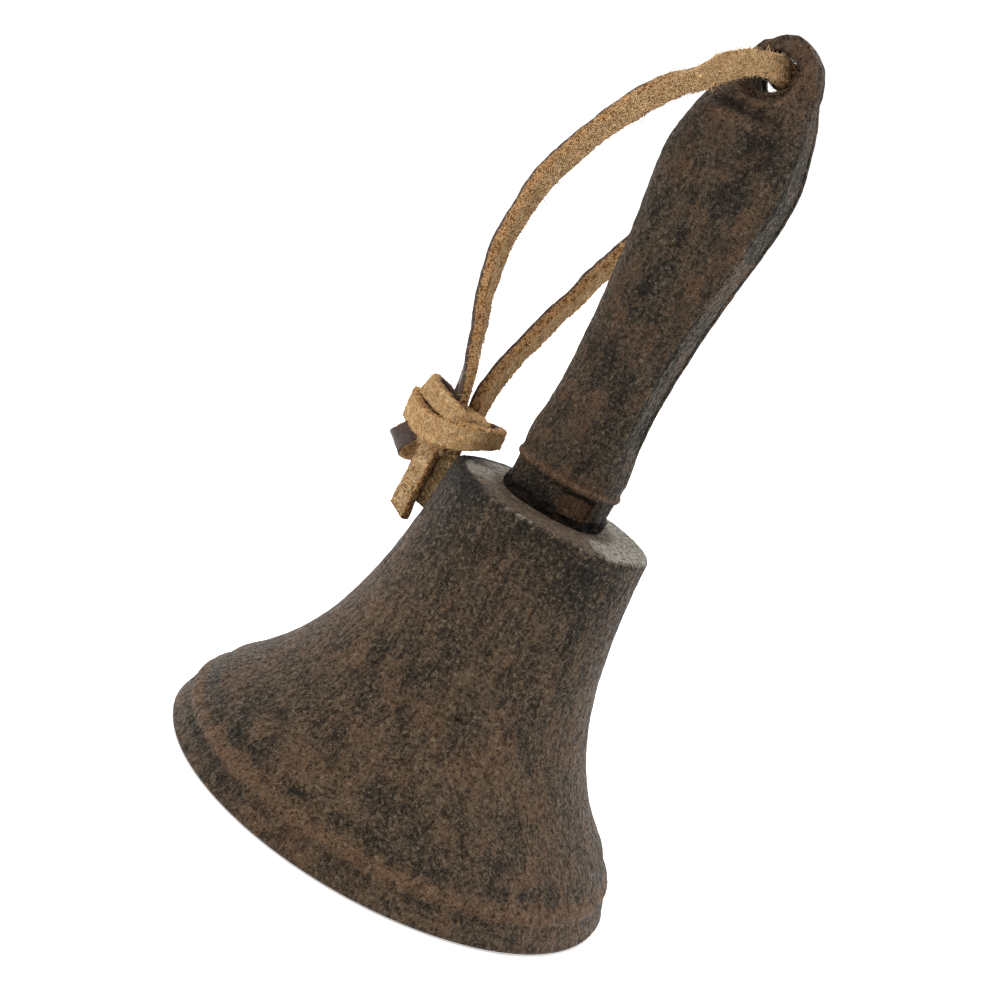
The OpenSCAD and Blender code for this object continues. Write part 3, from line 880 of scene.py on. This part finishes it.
def station_at(height):
    """One smooth row of the stations, by a cubic between the two nearest."""
    z = STATIONS[:, 0]
    last = len(z) - 1
    i = int(np.clip(np.searchsorted(z, height, "right") - 1, 0, last - 1))
    slopes = []
    for k in (i, i + 1):
        before, after = max(k - 1, 0), min(k + 1, last)
        slopes.append((STATIONS[after] - STATIONS[before]) / (z[after] - z[before]))
    gap = z[i + 1] - z[i]
    t = (height - z[i]) / gap
    return (STATIONS[i] * (2 * t ** 3 - 3 * t ** 2 + 1) + STATIONS[i + 1] * (3 * t ** 2 - 2 * t ** 3)
            + slopes[0] * gap * (t ** 3 - 2 * t ** 2 + t) + slopes[1] * gap * (t ** 3 - t ** 2))


def head_row(angle):
    """A row above the eye, where the sections shrink into the slightly pointed end."""
    point, taper, tall = 1.7, 0.35, 8.4
    up, narrow = math.sin(angle) ** (2 / point), math.cos(angle) ** (2 / point)
    thin = math.cos(angle) ** taper
    return np.array([HEAD_HEIGHT + tall * up, HEAD_WIDE * narrow, HEAD_DEEP * thin, thin,
                     HEAD_ROUND, HEAD_LEAN])


def section(row):
    """The outline at one row: a domed front and back joined by the flat side bands."""
    height, wide, deep, band, roundness, lean = row
    a = np.linspace(0, np.pi, 73)
    c, s = np.cos(a), np.abs(np.sin(a))
    out = []
    for side in (1, -1):
        x = side * wide * np.sign(c) * np.abs(c) ** (2 / roundness) + lean
        y = side * (band + (deep - band) * s ** (2 / roundness))
        out.append(np.stack([x * mm, y * mm, np.full(len(a), FOOT_Z + height * mm)], 1))
    return np.concatenate(out)


def cutter(name, shape, sizes, place, turn=(0, 0, 0)):
    """A shape to cut the handle with; it is removed afterwards."""
    mesh = bpy.data.meshes.new(name)
    work = bmesh.new()
    if shape == "round":
        radius, depth = sizes
        bmesh.ops.create_cone(work, segments=64, radius1=radius, radius2=radius, depth=depth,
                              cap_ends=True)
    else:
        bmesh.ops.create_cube(work, size=1)
        bmesh.ops.scale(work, vec=sizes, verts=work.verts)
    work.to_mesh(mesh)
    work.free()
    tool = new_object(name, mesh)
    tool.location, tool.rotation_euler = place, turn
    return tool


def handle_body():
    """The cast body with its eye, the hole for the bolt and the pocket in its foot, as one even skin."""
    rows = [section(station_at(h)) for h in np.arange(0, HEAD_HEIGHT, 0.75)]
    rows += [section(head_row(a)) for a in np.radians(np.arange(0, 89.5, 3))]
    columns = len(rows[0])
    last = (len(rows) - 1) * columns
    faces = [*grid_faces(len(rows), columns).tolist(), list(range(columns))[::-1],
             list(range(last, last + columns))]
    iron = cast_iron("handle_cast_iron", "flow", 0.36, pore_spread=0.045, specks=0.4,
                     deep=(44, 39, 31), browns=((92, 69, 51), (84, 66, 50)))
    handle = build("handle", np.concatenate(rows), faces, np.zeros(len(faces)), [iron])
    turn, away = math.radians(POCKET_TURN), 13.8 * mm
    pocket = (away * math.sin(turn), -away * math.cos(turn), FOOT_Z + 3.7 * mm)
    tools = [
        cutter("eye_cut", "round", (EYE_R + 0.05 * mm, 40 * mm), (EYE_X, 0, EYE_Z), (math.pi / 2, 0, 0)),
        cutter("bolt_cut", "round", (3 * mm, 36 * mm), (0, 0, FOOT_Z - 1 * mm)),
        cutter("pocket_cut", "box", (5.2 * mm, 10 * mm, 3.8 * mm), pocket, (0, 0, turn))]
    for tool in tools:
        cut = handle.modifiers.new(tool.name, "BOOLEAN")
        cut.operation, cut.solver, cut.object = "DIFFERENCE", "EXACT", tool
    remesh = handle.modifiers.new("skin", "REMESH")
    remesh.mode, remesh.voxel_size = "VOXEL", 0.3 * mm
    settle(handle)
    for tool in tools:
        bpy.data.objects.remove(tool)
    return handle


def handle_relief(points, normals):
    """How far each point of the handle stands out, in mm, where highlights are painted on its raised
    edges and a little on its flat face, and where shade is painted in its dips, grooves and undercuts.
    """
    x, y, z = (points / mm).T
    up = z - EYE_Z / mm
    beside = x - EYE_X / mm
    broad = step(np.abs(normals[:, 1]), 0.3, 0.75)
    around = step(np.hypot(normals[:, 0], normals[:, 1]), 0.4, 0.8)

    # the flat face round the eye, the ridge that bounds it, and the dip and swell below it
    tall = np.where(up < 0, 5.9, 13.0)
    ring = ((np.abs(beside / 4.9) ** 3 + np.abs(up / tall) ** 3) ** (1 / 3) - 1) * 5
    ridge = hump(ring, 0.1, 0.65) * broad * step(up, -12, -4)
    pad = step(-ring, 0.0, 1.0) * broad
    dip = hump(up, -7.6, 1.1) * broad * step(8.5 - np.abs(beside), 0, 3)
    swell = hump(up, -9.9, 1.3) * broad * step(9.5 - np.abs(beside), 0, 3)
    out = 0.42 * ridge - 0.75 * pad - 0.60 * dip + 0.40 * swell

    # the line where each dome meets its side band, above the collar
    foot = z - FOOT_Z / mm
    bands = np.interp(foot, STATIONS[:, 0], STATIONS[:, 3])
    beyond, sideways, clear = np.abs(y) - bands, np.abs(normals[:, 0]), step(z, 78, 86)
    line = hump(beyond, 0.35, 0.42) * clear * step(sideways, 0.45, 0.8)
    edge = hump(beyond, 1.2, 0.5) * clear * step(sideways, 0.3, 0.6)
    out += 0.28 * edge - 0.34 * line

    # the collar at the foot: a rim, a recessed band and a rough lower edge
    band = step(foot, 2.3, 2.9) * (1 - step(foot, 5.9, 6.5))
    rim = hump(foot, 7.0, 0.6)
    broken = 1 - step(foot, 1.9, 2.7)
    torn = rough(points, 1.7 * mm, 3, 20.0)
    out += around * (0.35 * rim - 0.5 * band + broken * (0.6 * torn - 0.2))

    # painted highlights on the ridge, the top of the swell and the collar's rim, and a little lightening
    # of the flat face
    worn = np.maximum.reduce([0.7 * ridge, 0.4 * swell, 0.95 * rim * around, 0.2 * pad])
    # painted shade in the dip under the eye, in the groove where each dome meets its band, on the
    # collar's broken lower edge and in its recessed band
    soot = np.maximum.reduce([0.75 * dip, 0.9 * line, 1.1 * broken * around, 0.4 * band * around])
    return out, worn, soot


# Dark patches on the front and the back of the handle: across, height, half width and half height
# in mm, strength
HANDLE_SOOT = {
    -1: [(4.5, 137, 3, 5, 0.8), (3.5, 129, 2.5, 7, 0.6), (0.5, 117, 2, 6, 0.55), (-1.5, 107, 2, 7, 0.6),
         (3, 103, 1.6, 8, 0.45), (-1, 94, 2.4, 6, 0.6), (3.5, 88, 2, 7, 0.5), (-4, 82, 2, 5, 0.4),
         (-6.5, 122, 1.2, 9, 0.3), (5, 77, 3, 3, 0.5)],
    1: [(-3, 132, 4, 6, 0.7), (4, 118, 3, 7, 0.6), (-2, 104, 3, 7, 0.7), (3, 90, 3, 7, 0.6),
        (-4, 80, 3, 4, 0.5)]}


def add_handle():
    handle = handle_body()
    mesh = handle.data
    points, normals = rows_of(mesh.vertices, "co"), rows_of(mesh.vertex_normals, "vector")
    relief, worn, soot = handle_relief(points, normals)
    x, y, z = points.T
    foot = z - FOOT_Z
    lumps = rough(points, 6 * mm, 2, 34.0)
    relief += 0.07 * rough(points, 1.3 * mm, 3, 30.0) + 0.16 * lumps
    in_bolt_hole = (radius_of(points) < 4 * mm) & (foot < 18 * mm)
    move_out(mesh, np.where(in_bolt_hole, 0, relief) * mm)

    for side, patches in HANDLE_SOOT.items():
        facing = step(normals[:, 1] * side, -0.1, 0.4)
        for across, up, wide, tall, strength in patches:
            spot = patch((x / mm - across) / wide, (z / mm - up) / tall, strength)
            soot = np.maximum(soot, facing * spot)

    # the foot gets painted shade towards its bottom, except in its pocket, which gets a painted shadow
    # under its upper edge
    turned = np.abs(np.degrees(np.arctan2(x, -y)) - POCKET_TURN)
    pocket = np.exp(-(turned / 17) ** 4 - ((foot - 3.5 * mm) / (1.7 * mm)) ** 4)
    brow_shadow = step(3.4 - 0.165 * turned, -0.6, 0.4) * hump(foot, 5.4 * mm, 0.7 * mm)
    soot = np.maximum(soot, 0.95 * (1 - step(foot / mm + lumps, 1.4, 5.5)))
    soot = np.maximum(soot * (1 - 0.7 * pocket), 1.3 * brow_shadow)

    # the flat side bands get painted shade and a faint painted sheen
    band = np.interp(foot, STATIONS[:, 0] * mm, STATIONS[:, 3] * mm)
    flank = step(np.abs(normals[:, 0]), 0.80, 0.93)
    flank *= 1 - step(np.abs(y), band + 0.1 * mm, band + 0.9 * mm)
    by_head = step(z, HEAD_Z - 12 * mm, HEAD_Z - 2 * mm)
    worn = np.maximum.reduce([worn, 0.3 * step(lumps, 0.05, 0.4), 0.4 * by_head, 0.8 * pocket])
    paint_masks(mesh, worn=worn, soot=np.maximum(soot, 0.45 * flank),
                dust=0.05 * flank * step(foot, 8 * mm, 16 * mm))
    paint_flow(mesh, points * (1, 1, 0.35))
    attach(handle, "root")
    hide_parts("handle")


add_handle()


# --- Fastening and clapper ---

for node, steel, bright, rust_share in (("eye_bolt", "bolt_steel", (112, 106, 99), 0.10),
                                        ("lock_nut", "nut_steel", (126, 121, 112), 0.08),
                                        ("crown_washer", "washer_steel", (138, 132, 122), 0.06),
                                        ("clapper_link", "link_steel", (118, 112, 104), 0.12),
                                        ("clapper_rod", "rod_steel", (108, 102, 95), 0.14)):
    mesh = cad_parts[node].data
    mesh.materials.clear()
    mesh.materials.append(aged_steel(steel, bright, rust_share))


def add_ball():
    """The clapper's cast ball and its neck, with a mould line round it."""
    low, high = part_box("clapper_ball")
    ball_r = (high.x - low.x) / 2
    middle = low.z + ball_r
    neck_r, hole_r, hole_end, tip_r = 2.6 * mm, 1.25 * mm, middle - 2 * mm, 0.02 * mm
    meets = math.degrees(math.acos(neck_r / ball_r))
    outline = np.concatenate([
        [[hole_r, high.z], [neck_r - 0.4 * mm, high.z], [neck_r, high.z - 0.4 * mm]],
        arc((0, middle), ball_r, meets, -89.5, 60)])
    profile = np.concatenate([resampled(outline, 0.42 * mm),
                              [[tip_r, low.z], [tip_r, hole_end], [hole_r, hole_end]]])
    ball, points = lathe("clapper_ball", profile, 110, cast_iron("ball_cast_iron", None, 0.35))
    seam = hump(points[:, 1], 0, 0.35 * mm)
    relief = 0.06 * rough(points, 1.4 * mm, 3, 50.0) + 0.14 * rough(points, 5 * mm, 2, 54.0) + 0.12 * seam
    move_out(ball.data, relief * step(radius_of(points), 1.6 * mm, 3 * mm) * mm)
    paint_masks(ball.data, worn=0.8 * hump(points[:, 2], middle, 2.5 * mm) + 0.3 * seam,
                soot=0.5 * step(points[:, 2], high.z - 3 * mm, high.z))
    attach(ball, "clapper")
    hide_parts("clapper_ball")


add_ball()


# --- Studio ---

def add_floor():
    """A wide pale floor that glows a little, as on a light table. It can't be seen from below."""
    size = 30.0
    mesh = bpy.data.meshes.new("floor")
    corners = [(-size, -size, 0), (size, -size, 0), (size, size, 0), (-size, size, 0)]
    mesh.from_pydata(corners, [], [(0, 1, 2, 3)])
    floor = new_object("floor", mesh)
    floor.location.z = -0.05 * mm
    p = Paint("floor_paper", Roughness=0.9, Specular_IOR_Level=0.0, Emission_Strength=0.45)
    p.shader.inputs["Emission Color"].default_value = (1, 1, 1, 1)
    p.link(p.mix(p.grain(0.08, 3), (0.93, 0.93, 0.93, 1), (0.95, 0.95, 0.95, 1)), "Base Color")
    clear = p.add("ShaderNodeBsdfTransparent").outputs[0]
    either = p.add("ShaderNodeMixShader", {0: p.add("ShaderNodeNewGeometry").outputs["Backfacing"],
                                           1: p.shader.outputs[0], 2: clear}).outputs[0]
    p.tree.links.new(either, p.tree.nodes["Material Output"].inputs["Surface"])
    mesh.materials.append(p.material)


def add_softbox(name, place, size, power):
    """A square light at place that faces the middle of the bell."""
    light = new_object(name, bpy.data.lights.new(name, "AREA"))
    light.data.shape, light.data.size, light.data.energy = "SQUARE", size, power
    light.location = place
    light.rotation_mode = "QUATERNION"
    light.rotation_quaternion = (Vector(place) - Vector((0, 0, 0.06))).to_track_quat("Z", "Y")


def add_world():
    """White all round, dimmer behind the camera as light falls on the object, as in a white studio."""
    world = bpy.data.worlds.new("studio")
    world.use_nodes = True
    tree = world.node_tree
    way = add_node(tree, "ShaderNodeTexCoord").outputs["Generated"]
    towards = add_node(tree, "ShaderNodeVectorMath", {0: way, 1: (-0.05, 0.9, 0.35)},
                       operation="DOT_PRODUCT").outputs["Value"]
    dimmed = add_node(tree, "ShaderNodeMapRange", {
        "Value": towards, "From Min": -0.8, "From Max": 0.5, "To Min": 0.08, "To Max": 1.0}).outputs[0]
    seen = add_node(tree, "ShaderNodeLightPath").outputs["Is Camera Ray"]
    sky = tree.nodes["Background"]
    sky.inputs["Color"].default_value = (1, 1, 1, 1)
    tree.links.new(add_node(tree, "ShaderNodeMix", {0: seen, 2: dimmed, 3: 1.15}).outputs[0],
                   sky.inputs["Strength"])
    bpy.context.scene.world = world


add_floor()
add_softbox("overhead", (-0.1, 0.5, 1.5), 1.5, 16)
add_softbox("key", (-0.5, -0.75, 1.25), 0.3, 9)
add_world()
bpy.context.scene.view_settings.view_transform = "Standard"
